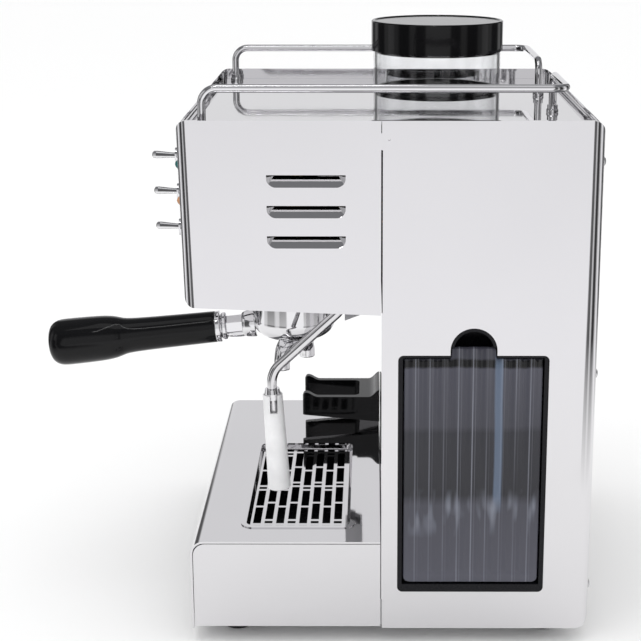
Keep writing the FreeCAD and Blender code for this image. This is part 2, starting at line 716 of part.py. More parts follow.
def portafilter_handle():
    """Black handle: slim at the neck, then a waist and a full end with a rounded tip."""
    outline = [Vector(12.3, 0, 0), Vector(12.8, 0, 30), Vector(13.6, 0, 66), Vector(14.3, 0, 72.5),
               Vector(16.4, 0, 79.5), Vector(17.8, 0, 86), Vector(18.3, 0, 98), Vector(18.5, 0, 122)]
    curve = Part.BSplineCurve()
    curve.interpolate(outline)
    tip = Vector(7.0, 0, HANDLE_LENGTH - 0.6)
    end = Vector(0, 0, HANDLE_LENGTH)
    edges = [curve.toShape(), Part.Arc(outline[-1], Vector(15.2, 0, 130), tip).toShape(),
             Part.LineSegment(tip, end).toShape(), Part.LineSegment(end, Vector(0, 0, 0)).toShape(),
             Part.LineSegment(Vector(0, 0, 0), outline[0]).toShape()]
    grip = Part.Face(Part.Wire(edges)).revolve(Vector(0, 0, 0), Z, 360)
    grip = grip.cut(Part.makeCylinder(5.1, 33, Vector(0, 0, -1), Z))
    grip.Placement = FreeCAD.Placement(on_handle(HANDLE_START), FreeCAD.Rotation(Z, handle_axis()))
    return grip


def portafilter_spout():
    """Twin spout: a hub below the cup and two arms that arch apart and down."""
    hub = turned([(0, 199), (9.5, 199), (12.5, 204), (13, CUP_BOTTOM - 0.1), (6.8, CUP_BOTTOM - 0.1),
                  (6.8, CUP_BOTTOM + 6), (0, CUP_BOTTOM + 6)])
    spout = hub
    bores = [rod(Vector(0, 0, 199), Vector(0, 0, 230), 5)]
    for side in (-1, 1):
        reach = side * ARM_REACH
        points = [Vector(0, 0, 205), Vector(reach, 0, 201), Vector(reach, 0, SPOUT_TIP)]
        spout = spout.fuse(bent_rod(points, 11, 6.2))
        bores.append(bent_rod([points[0], points[1], points[2].sub(Vector(0, 0, 5))], 11, 4.2))
    for bore in bores:
        spout = spout.cut(bore)
    spout.rotate(Vector(0, 0, 0), Z, SPOUT_YAW)
    spout.translate(GROUP)
    return spout


# ---- boiler, water and steam ----
def boiler():
    """Small brass boiler bolted on the group."""
    shell = [(0, 292.2), (46, 292.2), (46, 298), (37, 298), (37, 366), (33, 373), (26, 376), (0, 376)]
    tank = turned(shell, GROUP).cut(turned([(0, 298), (34.5, 300), (34.5, 364), (30, 371), (0, 373)], GROUP))
    for k in range(4):
        tank = tank.cut(disc(bolt_place(k), 2.6, 280, 300))
    for x in (-9, 9):
        tank = tank.cut(disc(GROUP.add(Vector(x, 0, 0)), 3.2, 360, 380))
    return tank


def boiler_bolts():
    """Four bolts between boiler and group."""
    bolt = rod(Vector(0, 0, 276), Vector(0, 0, 298), 2.5).fuse(hexagon(Vector(0, 0, 298), 8, Z, 4))
    return spread(bolt, [bolt_place(k) for k in range(4)])


def heating_element():
    """Looped tube heater inside the boiler, with its two terminals."""
    points = [Vector(-9, 0, 384), Vector(-9, 0, 320), Vector(9, 0, 320), Vector(9, 0, 384)]
    loop = bent_rod(points, 8.9, 3)
    loop.translate(GROUP)
    return loop


def steam_valve():
    """Steam solenoid over the wand."""
    body = box(WAND.x - 14, WAND.x + 14, WAND.y - 14, WAND.y + 14, 268, 292)
    coil = disc(WAND, 13, 292, 325)
    stem = disc(WAND, 5, 325, 332)
    outlet = disc(WAND, 6, 262, 268)
    return body.fuse([coil, stem, outlet]).removeSplitter()


def steam_pipe():
    """Copper pipe from the boiler to the steam valve."""
    points = [Vector(GROUP.x + 37.2, GROUP.y, 340), Vector(WAND.x, GROUP.y, 340),
              Vector(WAND.x, GROUP.y, 280), Vector(WAND.x, WAND.y - 14.2, 280)]
    return bent_tube(points, 10, 3, 2)


def pump():
    """Vibrating pump: coil block with a brass end and two fittings."""
    coil = box(-115, -65, 52, 92, 70, 110)
    cylinder = rod(Vector(-130, 72, 90), Vector(-40, 72, 90), 12)
    fitting = rod(Vector(-40, 72, 90), Vector(-22, 72, 90), 5)
    body = coil.fuse([cylinder, fitting])
    bracket = box(-120, -60, 55, 89, FOOT_HEIGHT + 3, 70).cut(box(-117, -63, 50, 100, FOOT_HEIGHT + 5, 68))
    return body.fuse(bracket).removeSplitter()


def suction_hose():
    """Hose from the tank socket to the pump."""
    points = [Vector(-4.2, NOTCH_Y, 62), Vector(-12, NOTCH_Y, 62), Vector(-12, 72, 90),
              Vector(-21.8, 72, 90)]
    return bent_tube(points, 3.5, 3.4, 2)


def feed_pipe():
    """Pipe from the pump up to the boiler."""
    points = [Vector(-130.2, 72, 90), Vector(-146, 72, 90), Vector(-146, -2, 90), Vector(-146, -2, 350),
              Vector(-146, GROUP.y, 350), Vector(GROUP.x - 37.2, GROUP.y, 350)]
    return bent_tube(points, 9, 3, 2)


def control_board():
    """Circuit board with its relays on posts."""
    board = box(-152, -150, 30, 130, 225, 325)
    for y in (50, 80, 110):
        board = board.fuse(box(-150, -135, y - 10, y + 10, 240, 262))
    for y in (35, 125):
        for z in (230, 320):
            board = board.fuse(rod(Vector(-158, y, z), Vector(-152, y, z), 3))
    return board.removeSplitter()


# ---- steam wand ----
WAND_TUBE_R = 3.75
WAND_REACH = 52.5
BALL_Z = 255.5
BALL_R = 6.0
ELBOW_Z = 200.5
SLEEVE_Z = (183.8, 107.5)
SLEEVE_R = (7.5, 8.7)
WAND_LEAN = math.radians(3.2)


def on_wand(z):
    """Point on the centre line of the wand's lower run, at a height."""
    return Vector(WAND.x, WAND.y - WAND_REACH + (ELBOW_Z - z) * math.tan(WAND_LEAN), z)


def on_lower_run(profile, z):
    """Solid of revolution on the wand's lower run, from a height upwards."""
    return turned(profile, on_wand(z), on_wand(ELBOW_Z).sub(on_wand(z)))


def wand_tube():
    """Polished steam tube: a ball at the top, forward at a slant, then straight down."""
    x, y = WAND.x, WAND.y
    start = Vector(x, y, BALL_Z)
    shoulder = Vector(x, y, 249)
    elbow = on_wand(ELBOW_Z)
    tip = on_wand(SLEEVE_Z[1] + 4)
    solids = []
    for radius in (WAND_TUBE_R, 2.2):
        upper = bent_rod([start, shoulder, shoulder.add(elbow) * 0.5], 8, radius)
        lower = bent_rod([shoulder.add(elbow) * 0.5, elbow, tip], 20, radius)
        solids.append(upper.fuse(lower).removeSplitter())
    outer, bore = solids
    return outer.fuse(Part.makeSphere(BALL_R, start)).cut(bore).removeSplitter()


def wand_nut():
    """Nut under the housing that holds the wand's ball."""
    z0, z1 = 250.5, 259.5
    nut = hexagon(Vector(WAND.x, WAND.y, z0), 19, Z, z1 - z0)
    seat = Part.makeSphere(BALL_R + RUNNING, Vector(WAND.x, WAND.y, BALL_Z))
    mouth = turned([(0, z0 - 2), (7.6, z0 - 2), (7.6, z0), (4.3, z0 + 2.5), (0, z0 + 2.5)], WAND)
    return nut.cut(seat).cut(mouth).cut(disc(WAND, 5.6, BALL_Z, z1 + 5))


def wand_ferrule():
    """Chromed collar between the tube and the sleeve."""
    bore = WAND_TUBE_R + 0.02
    return on_lower_run([(bore, 0), (6.2, 0), (6.2, 4.5), (5.6, 8), (bore, 8)], SLEEVE_Z[0] - 4)


def wand_sleeve():
    """White heat-proof sleeve, slightly tapered, with a slot at its upper edge."""
    z_top, z_low = SLEEVE_Z
    r_top, r_low = SLEEVE_R
    length = z_top - z_low
    profile = [(4.4, 0), (r_low - 0.8, 0), (r_low, 0.8), (r_top, length - 0.6), (r_top - 0.6, length),
               (6.4, length), (6.4, length - 6), (4.4, length - 8)]
    middle = on_wand(z_top).y + 1.2
    slot = rounded_box(WAND.x + 2, WAND.x + 12, middle - 2.8, middle + 2.8, z_top - 14, z_top + 1, 0.5)
    return on_lower_run(profile, z_low).cut(slot)


# ---- controls ----
TOGGLE_REST = -12.5
BUSHING_OUT = 4.0


def toggle_pivot(z):
    """Point that a lever turns about."""
    return Vector(TOGGLE_X, housing_front(z) + 1.0, z)


def toggle_lever(z):
    """Bat-shaped lever, at rest against its left stop."""
    length = 22.5
    profile = [(0, -5), (1.6, -5), (1.6, -3), (2.6, -1.5), (2.6, 1.5), (2.0, 3), (2.0, 8), (2.8, length - 3),
               (2.6, length - 0.8), (1.8, length), (0, length)]
    lever = turned(profile, Vector(0, 0, 0), Vector(0, -1, 0))
    lever.rotate(Vector(0, 0, 0), Z, TOGGLE_REST)
    lever.translate(toggle_pivot(z))
    return lever


def toggle_bushings():
    """Threaded bushing and nut of each switch."""
    parts = []
    for z in TOGGLE_Z:
        y = housing_front(z)
        bush = rod(Vector(TOGGLE_X, y + 3, z), Vector(TOGGLE_X, y - BUSHING_OUT, z), TOGGLE_HOLE - 0.2)
        nut = hexagon(Vector(TOGGLE_X, y - 0.2, z), 15, Vector(0, -1, 0), 2.2)
        bore = turned([(0, -5), (3.4, -5), (3.4, 2), (4.3, 8), (0, 8)], Vector(TOGGLE_X, y, z),
                      Vector(0, -1, 0))
        parts.append(bush.fuse(nut).cut(bore))
    return Part.makeCompound(parts)


def switch_bodies():
    """Switch cases behind the front, each with its terminals."""
    parts = []
    for z in TOGGLE_Z:
        y = housing_front(z) + 3.2
        case = box(TOGGLE_X - 9, TOGGLE_X + 9, y, y + 24, z - 9, z + 9)
        pocket = box(TOGGLE_X - 5, TOGGLE_X + 5, y - 1, y + 7, z - 3.5, z + 3.5)
        case = case.cut(pocket)
        for x in (-5, 0, 5):
            case = case.fuse(box(TOGGLE_X + x - 0.4, TOGGLE_X + x + 0.4, y + 24, y + 32, z - 3, z + 3))
        parts.append(case)
    return Part.makeCompound(parts)


def lamp(z):
    """Small domed indicator lamp with its body behind the front."""
    centre = z - LAMP_DROP
    y = housing_front(centre)
    barrel = LAMP_R - 0.2
    profile = [(0, -14), (barrel, -14), (barrel, 0.1), (LAMP_R + 0.8, 0.1), (LAMP_R + 0.8, 0.7),
               (barrel, 0.9), (LAMP_R - 0.5, 1.7), (LAMP_R - 1.6, 2.4), (0, 2.8)]
    return turned(profile, Vector(LAMP_X, y, centre), Vector(0, -1, 0))


# ---- water tank ----
BAY_BACK = 4.0
BEZEL = 3.4
TANK_WALL = 2.2
TAB_HALF = 16.2
TAB_TOP = 233.5
FLUTE_PITCH = 10.5


def tank_bay():
    """Black frame in the window with a box behind it that guides the tank."""
    face = tank_opening(-0.25, HALF_W - 4, HALF_W - 0.3)
    flange = tank_opening(4, HALF_W - 4, HALF_W - SHEET - 0.2)
    tunnel = box(BAY_BACK, HALF_W - 3, TANK_Y[0] + 1, TANK_Y[1] - 1, TANK_Z[0] + 3.5, TANK_Z[1] + 8)
    bay = face.fuse([flange, tunnel])
    y0, y1 = TANK_Y[0] + BEZEL, TANK_Y[1] - BEZEL
    cavity = box(BAY_BACK + 2, HALF_W + 5, y0, y1, TANK_Z[0] + 6, 224.0)
    ledge = box(HALF_W - 5, HALF_W + 5, y0, y1, 220, TANK_Z[1] - 1.7)
    reach = TAB_HALF + 0.6
    tab_room = box(HALF_W - 5, HALF_W + 5, NOTCH_Y - reach, NOTCH_Y + reach, 220, TAB_TOP + 0.6)
    fingers = rod(Vector(HALF_W - 24, NOTCH_Y, NOTCH_Z), Vector(HALF_W + 5, NOTCH_Y, NOTCH_Z), NOTCH_R - 2.5)
    neck = box(HALF_W - 24, HALF_W + 5, NOTCH_Y - 14.5, NOTCH_Y + 14.5, 220, NOTCH_Z)
    hood = rod(Vector(HALF_W - 26, NOTCH_Y, NOTCH_Z), Vector(HALF_W - 3, NOTCH_Y, NOTCH_Z), NOTCH_R)
    bay = bay.fuse(hood).cut(cavity).cut(fingers).cut(neck).cut(ledge).cut(tab_room)
    socket_hole = rod(Vector(0, NOTCH_Y, 62), Vector(20, NOTCH_Y, 62), 8)
    return bay.cut(socket_hole).removeSplitter()


def water_tank():
    """Clear tank with a taller, fluted front plate, a finger tab and an outlet nozzle at the back."""
    x0, x1 = BAY_BACK + 12, HALF_W - 1.0
    y0, y1 = TANK_Y[0] + BEZEL + 0.8, TANK_Y[1] - BEZEL - 0.8
    z0, z1 = TANK_Z[0] + 7, 220.0
    body = box(x0, x1, y0, y1, z0, z1)
    edges = [e for e in body.Edges if abs(e.Vertexes[1].Point.x - e.Vertexes[0].Point.x) > 1
             and e.Vertexes[0].Point.z < z0 + 1]
    body = body.makeFillet(5, edges)
    hollow = box(x0 + TANK_WALL, x1 - 3.4, y0 + TANK_WALL, y1 - TANK_WALL, z0 + 3, z1 + 5)
    plate = box(x1 - 3.4, x1, y0, y1, z1 - 6, TANK_Z[1] - 2.5)
    tab = box(x1 - 3.4, x1, NOTCH_Y - TAB_HALF, NOTCH_Y + TAB_HALF, z1 - 6, TAB_TOP)
    body = body.cut(hollow).fuse([plate, tab])
    count = 9
    first = (y0 + y1) / 2 - FLUTE_PITCH * (count - 1) / 2
    radius = 11.0
    depth = 1.1
    for k in range(count):
        y = first + FLUTE_PITCH * k
        x = x1 + radius - depth
        scoop = rod(Vector(x, y, z0 + 7), Vector(x, y, TAB_TOP + 1), radius)
        body = body.cut(scoop.common(box(x1 - 5, x1 + 5, y - 4.6, y + 4.6, z0, TAB_TOP + 1)))
    nozzle = rod(Vector(BAY_BACK - 3, NOTCH_Y, 62), Vector(x0 + 3, NOTCH_Y, 62), 5)
    bore = rod(Vector(BAY_BACK - 5, NOTCH_Y, 62), Vector(x0 + 10, NOTCH_Y, 62), 2.5)
    return body.fuse(nozzle).cut(bore).removeSplitter()


def tank_socket():
    """Socket with a sealing ring that the tank's nozzle plugs into."""
    outer = rod(Vector(-4, NOTCH_Y, 62), Vector(BAY_BACK + 5, NOTCH_Y, 62), 7.8)
    flange = rod(Vector(BAY_BACK - 2, NOTCH_Y, 62), Vector(BAY_BACK - 0.2, NOTCH_Y, 62), 12)
    bore = rod(Vector(0, NOTCH_Y, 62), Vector(BAY_BACK + 10, NOTCH_Y, 62), 5 + CLEAR)
    feed = rod(Vector(-10, NOTCH_Y, 62), Vector(5, NOTCH_Y, 62), 2.5)
    return outer.fuse(flange).cut(bore).cut(feed)


# ---- all pieces ----
def pieces():
    """Every node by name."""
    right_panel, left_panel = both_sides(base_side_panel())
    tray = drip_tray()
    for tie in drawer_ties():
        tray = tray.fuse(tie)
    nodes = {
        "base_pan": base_pan(),
        "base_side_panel_right": right_panel,
        "base_side_panel_left": left_panel,
        "column_casing": column_casing(),
        "column_front_plate": column_front_plate(),
        "front_casing": front_casing(),
        "housing_underside": housing_underside(),
        "top_plate": top_plate(),
        "deck_cover": deck_cover(),
        "drip_grille": drip_grille(),
        "drip_tray": tray,
        "feet": feet(),
        "foot_screws": foot_screws(),
        "casing_screws": casing_screws(),
        "mains_inlet": mains_inlet(),
        "rail_ferrules": rail_ferrules(),
        "bean_hopper": bean_hopper(),
        "throat_funnel": throat_funnel(),
        "hopper_lid": hopper_lid(),
        "grinder_housing": grinder_housing(),
        "upper_burr": upper_burr(),
        "lower_burr": lower_burr(),
        "burr_carrier": burr_carrier(),
        "grinder_motor": grinder_motor(),
        "grinder_shelf": grinder_shelf(),
        "grinder_chute": grinder_chute(),
        "portafilter_fork": portafilter_fork(),
        "group_head": group_head(),
        "group_gasket": group_gasket(),
        "shower_screen": shower_screen(),
        "shower_screw": shower_screw(),
        "portafilter_cup": portafilter_cup(),
        "portafilter_basket": portafilter_basket(),
        "portafilter_stem": portafilter_stem(),
        "portafilter_handle": portafilter_handle(),
        "portafilter_spout": portafilter_spout(),
        "boiler": boiler(),
        "boiler_bolts": boiler_bolts(),
        "heating_element": heating_element(),
        "steam_valve": steam_valve(),
        "pump": pump(),
        "suction_hose": suction_hose(),
        "copper_pipes": Part.makeCompound([feed_pipe(), steam_pipe()]),
        "control_board": control_board(),
        "wand_nut": wand_nut(),
        "wand_tube": wand_tube(),
        "wand_ferrule": wand_ferrule(),
        "wand_sleeve": wand_sleeve(),
        "toggle_bushings": toggle_bushings(),
        "switch_bodies": switch_bodies(),
        "tank_bay": tank_bay(),
        "water_tank": water_tank(),
        "tank_socket": tank_socket(),
    }
    for name, layout in RAILS.items():
        nodes[name] = rail(*layout)
    for name, z in zip(("power", "brew", "steam"), TOGGLE_Z):
        nodes["toggle_lever_" + name] = toggle_lever(z)
    for name, z in zip(("upper", "lower"), TOGGLE_Z):
        nodes["lamp_" + name] = lamp(z)
    return nodes


os.makedirs("parts", exist_ok=True)
for name, shape in pieces().items():
    shape.exportStep("parts/" + name + ".step")
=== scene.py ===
"""Looks of the espresso machine: materials, finer pieces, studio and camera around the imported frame.

Lengths are in metres in the frame of the CAD part: +Z up, front -Y, the user's right +X.
"""
import json
import math

import bmesh
import bpy
from mathutils import Matrix, Vector


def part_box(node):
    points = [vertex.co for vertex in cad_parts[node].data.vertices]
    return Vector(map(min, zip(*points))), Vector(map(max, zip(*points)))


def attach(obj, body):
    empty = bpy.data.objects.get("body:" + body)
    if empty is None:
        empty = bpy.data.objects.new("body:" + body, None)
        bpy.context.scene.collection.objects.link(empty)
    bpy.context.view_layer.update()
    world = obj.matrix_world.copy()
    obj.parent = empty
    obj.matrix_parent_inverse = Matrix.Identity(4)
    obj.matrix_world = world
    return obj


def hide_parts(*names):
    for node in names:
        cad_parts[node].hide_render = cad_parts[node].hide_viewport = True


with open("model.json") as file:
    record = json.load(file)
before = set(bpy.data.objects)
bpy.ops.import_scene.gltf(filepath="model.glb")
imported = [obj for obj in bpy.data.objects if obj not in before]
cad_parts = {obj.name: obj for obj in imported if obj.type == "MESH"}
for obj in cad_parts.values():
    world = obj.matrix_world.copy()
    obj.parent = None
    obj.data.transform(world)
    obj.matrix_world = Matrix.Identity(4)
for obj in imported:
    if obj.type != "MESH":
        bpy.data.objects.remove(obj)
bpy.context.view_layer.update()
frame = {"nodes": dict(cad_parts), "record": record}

MM = 0.001
NODES = frame["nodes"]
X = Vector((1, 0, 0))
Y = Vector((0, 1, 0))
Z = Vector((0, 0, 1))


# ---- small helpers ----
def centre_of(node):
    """Middle of a CAD node's box."""
    low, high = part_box(node)
    return (low + high) / 2


def add(tree, kind, inputs=None, **settings):
    """One shader node, with its settings, and its inputs linked or set."""
    made = tree.nodes.new("ShaderNode" + kind)
    for key, value in settings.items():
        setattr(made, key, value)
    for key, value in (inputs or {}).items():
        if isinstance(value, bpy.types.NodeSocket):
            tree.links.new(value, made.inputs[key])
        else:
            made.inputs[key].default_value = value
    return made


def blank(slot, **values):
    """New material with its shader's plain values set."""
    made = bpy.data.materials.new("finish_" + slot)
    made.use_nodes = True
    shader = made.node_tree.nodes["Principled BSDF"]
    for key, value in values.items():
        shader.inputs[key.replace("_", " ")].default_value = value
    return made, made.node_tree, shader


def noise(tree, scale, detail=3.0, stretch=(1, 1, 1), turn=(0, 0, 0)):
    """Noise at a real scale: scale is in features per metre."""
    where = add(tree, "TexCoord")
    placed = add(tree, "Mapping", {"Vector": where.outputs["Object"], "Scale": stretch, "Rotation": turn})
    made = add(tree, "TexNoise", {"Vector": placed.outputs[0], "Scale": scale, "Detail": detail})
    return made.outputs["Fac"]


def span(tree, value, low, high, start=0.3, stop=0.7):
    """A value mapped onto a range."""
    inputs = {"Value": value, "From Min": start, "From Max": stop, "To Min": low, "To Max": high}
    return add(tree, "MapRange", inputs).outputs["Result"]


def two_tone(tree, value, dark, light):
    """Colour that runs between two tones."""
    return layered(tree, span(tree, value, 0, 1), dark, light)


def bump(tree, height, strength, distance, under=None):
    """Relief from a height, over another relief when one is given."""
    inputs = {"Height": height, "Strength": strength, "Distance": distance}
    if under is not None:
        inputs["Normal"] = under
    return add(tree, "Bump", inputs).outputs["Normal"]


def wire(tree, shader, **sockets):
    """Link sockets to the shader's inputs."""
    for key, value in sockets.items():
        tree.links.new(value, shader.inputs[key.replace("_", " ")])


def maths(tree, operation, first, second=0.0):
    """Result of one arithmetic node."""
    return add(tree, "Math", {0: first, 1: second}, operation=operation).outputs[0]


def band(tree, value, middle, half, soft):
    """One inside a range of a value, falling softly to zero outside it."""
    away = maths(tree, "ABSOLUTE", maths(tree, "SUBTRACT", value, middle))
    return span(tree, away, 1, 0, half, half + soft)


def ramp_of(tree, share, stops, tint):
    """Colour along a share from 0 to 1, through (place, tone) stops that are all tinted alike."""
    made = add(tree, "ValToRGB", {"Fac": share})
    elements = made.color_ramp.elements
    while len(elements) < len(stops):
        elements.new(0.5)
    for element, (place, _) in zip(elements, stops):
        element.position = place
    for element, (_, tone) in zip(elements, stops):
        element.color = (*(tone * t for t in tint), 1)
    return made.outputs["Color"]


def layered(tree, share, under, over):
    """Colour with another laid over it by a share; each is a tone or a socket."""
    sides = [c if isinstance(c, bpy.types.NodeSocket) else (*c, 1) for c in (under, over)]
    return add(tree, "Mix", {0: share, 6: sides[0], 7: sides[1]}, data_type="RGBA").outputs[2]


# ---- materials ----
FLUTE_PITCH = 10.5 * MM
TANK_MIDDLE = centre_of("water_tank").y
STREAK_OFF_MIDDLE = 20.5 * MM  # the pale upright streak, towards the back
PLATE_HEIGHTS = (52 * MM, 233 * MM)
# painted shade between those heights, for the dark bay seen through the plastic: grey low down, a dark
# middle, grey again and a thin dark line near the top
PAINTED_BAY_SHADE = ((0.0, 0.085), (0.34, 0.065), (0.385, 0.022), (0.66, 0.030), (0.69, 0.055), (0.93, 0.075),
             (0.94, 0.004), (0.965, 0.004), (0.975, 0.05), (1.0, 0.05))


def polished_metal(slot, tone, rough, wave, grain):
    """Polished metal: faint clouding, fine wiping marks both ways and a slightly uneven sheet."""
    made, tree, shader = blank(slot, Metallic=1.0)
    cloud = noise(tree, 7, 4)
    smear = noise(tree, 60, 6, (1, 1, 0.35), (0.3, 0.1, 0.5))
    marks = noise(tree, 900, 2, (0.06, 0.06, 1))
    cross = noise(tree, 700, 2, (1, 1, 0.08), (0.2, 0.4, 0))
    colour = two_tone(tree, cloud, [t * 0.972 for t in tone], tone)
    relief = bump(tree, noise(tree, 9, 1), 1.0, wave)
    relief = bump(tree, marks, grain, 0.00001, relief)
    relief = bump(tree, cross, grain * 0.6, 0.00001, relief)
    wire(tree, shader, Base_Color=colour, Roughness=span(tree, smear, *rough), Normal=relief)
    return made


def machined_metal(slot, tone, rough, pitch):
    """Turned or drawn metal with fine tool lines round it and a slightly tarnished tone."""
    made, tree, shader = blank(slot, Metallic=1.0)
    lines = noise(tree, pitch, 2, (0.1, 0.1, 1))
    colour = two_tone(tree, noise(tree, 45, 5), [t * 0.8 for t in tone], tone)
    relief = bump(tree, lines, 0.25, 0.00003)
    wire(tree, shader, Base_Color=colour, Roughness=span(tree, lines, *rough), Normal=relief)
    return made


def gloss_plastic(slot, tone, rough, peel=0.00002):
    """Gloss moulding: a faint orange peel, and wiping marks in the gloss."""
    made, tree, shader = blank(slot, IOR=1.5, Specular_IOR_Level=0.22)
    colour = two_tone(tree, noise(tree, 30, 4), tone, [t * 1.25 for t in tone])
    wiped = noise(tree, 130, 6, (1, 0.3, 1))
    relief = bump(tree, noise(tree, 420, 2), 0.5, peel)
    wire(tree, shader, Base_Color=colour, Roughness=span(tree, wiped, *rough), Normal=relief)
    return made


def grained_plastic(slot, tone, rough, grain_scale=1600, depth=0.00004, **values):
    """Satin or matte moulding with a fine spark-eroded grain."""
    made, tree, shader = blank(slot, IOR=1.48, **values)
    grain = noise(tree, grain_scale, 3)
    colour = two_tone(tree, noise(tree, 55, 5), [t * 0.86 for t in tone], tone)
    relief = bump(tree, grain, 0.45, depth)
    wire(tree, shader, Base_Color=colour, Roughness=span(tree, grain, *rough), Normal=relief)
    return made


def clear_plastic(slot, tint, rough, haze=1.0, streaks=0.00003):
    """See-through moulding with faint flow lines and wiping marks."""
    made, tree, shader = blank(slot, IOR=1.49, Transmission_Weight=haze)
    flow = noise(tree, 70, 3, (1, 1, 0.15))
    colour = two_tone(tree, flow, [t * 0.95 for t in tint], tint)
    relief = bump(tree, flow, 0.4, streaks)
    wire(tree, shader, Base_Color=colour, Roughness=span(tree, noise(tree, 90, 6), *rough), Normal=relief)
    return made


def smoked_plastic(slot):
    """Smoked tank plastic: painted shade by height for the dark bay behind it, painted highlights along the
    ridges, and soft streaks.
    """
    made, tree, shader = blank(slot, IOR=1.49, Transmission_Weight=0.15, Specular_IOR_Level=0.4)
    where = add(tree, "SeparateXYZ", {"Vector": add(tree, "TexCoord").outputs["Object"]})
    across, height = where.outputs["Y"], where.outputs["Z"]
    wander = maths(tree, "MULTIPLY", noise(tree, 14, 3), 0.006)
    rise = span(tree, maths(tree, "ADD", height, wander), 0, 1, *PLATE_HEIGHTS)
    # colour by height here is painted shade for the dark bay seen through the plastic
    colour = ramp_of(tree, rise, PAINTED_BAY_SHADE, (1, 1.01, 1.3))
    # painted highlights: pale lines along each ridge between flutes and fainter lines beside them, uneven
    # along their length
    pitches = maths(tree, "DIVIDE", maths(tree, "ADD", across, FLUTE_PITCH * 0.5 - TANK_MIDDLE), FLUTE_PITCH)
    beside = maths(tree, "SUBTRACT", maths(tree, "FRACT", pitches), 0.5)
    ridge_highlight = span(tree, maths(tree, "ABSOLUTE", beside), 1, 0, 0.02, 0.06)
    second = band(tree, beside, 0.2, 0.0, 0.035)
    uneven = span(tree, noise(tree, 45, 2, (1, 1, 0.12)), 0.1, 1, 0.35, 0.65)
    lines = maths(tree, "MULTIPLY", maths(tree, "ADD", ridge_highlight, maths(tree, "MULTIPLY", second, 0.5)), uneven)
    sway = maths(tree, "MULTIPLY", noise(tree, 9, 2), 0.004)
    streak = band(tree, maths(tree, "ADD", across, sway), TANK_MIDDLE + STREAK_OFF_MIDDLE, 0.0022, 0.0014)
    streak = maths(tree, "MULTIPLY", streak, band(tree, height, 0.168, 0.052, 0.012))
    drops = span(tree, noise(tree, 150, 1, (1, 1, 0.2)), 0, 1, 0.5, 0.7)
    drops = maths(tree, "MULTIPLY", drops, band(tree, height, 0.105, 0.004, 0.016))
    # lays the painted ridge highlights, the pale streak and the drops over the painted shade
    layers = ((lines, (0.25, 0.26, 0.31)), (streak, (0.15, 0.20, 0.29)), (drops, (0.26, 0.28, 0.34)))
    for share, tone in layers:
        colour = layered(tree, maths(tree, "MULTIPLY", share, 0.7), colour, tone)
    wire(tree, shader, Base_Color=colour, Roughness=span(tree, noise(tree, 90, 6), 0.04, 0.1),
         Normal=bump(tree, noise(tree, 70, 3, (1, 1, 0.15)), 0.3, 0.00003))
    return made


def circuit_board(slot):
    """Green board with copper tracks under the lacquer and pale soldered points."""
    made, tree, shader = blank(slot, IOR=1.5)
    where = add(tree, "TexCoord").outputs["Object"]
    placing = {"Vector": where, "Rotation": (0, math.pi / 2, 0), "Scale": (130, 130, 130)}
    turned = add(tree, "Mapping", placing).outputs[0]
    tracks = add(tree, "TexBrick", {
        "Vector": turned, "Color1": (0.01, 0.09, 0.04, 1), "Color2": (0.012, 0.11, 0.05, 1),
        "Mortar": (0.05, 0.24, 0.09, 1), "Mortar Size": 0.05})
    cells = add(tree, "TexVoronoi", {"Vector": where, "Scale": 220.0}).outputs["Distance"]
    solder = span(tree, cells, 1, 0, 0.1, 0.16)
    colour = layered(tree, solder, tracks.outputs["Color"], (0.6, 0.6, 0.58))
    relief = bump(tree, solder, 0.4, 0.0003)
    rough = span(tree, noise(tree, 90), 0.25, 0.45)
    wire(tree, shader, Base_Color=colour, Roughness=rough, Normal=relief)
    return made


def lamp_glass(slot, tone, glow):
    """Tinted lamp dome with a ribbed inside, lit faintly from behind."""
    made, tree, shader = blank(slot, IOR=1.5, Transmission_Weight=0.2, Emission_Color=(*glow, 1),
                               Emission_Strength=0.08)
    ribs = noise(tree, 1500, 1, (1, 0.2, 1))
    wire(tree, shader, Base_Color=two_tone(tree, ribs, [t * 0.7 for t in tone], tone),
         Roughness=span(tree, ribs, 0.05, 0.16), Normal=bump(tree, ribs, 0.3, 0.00005))
    return made


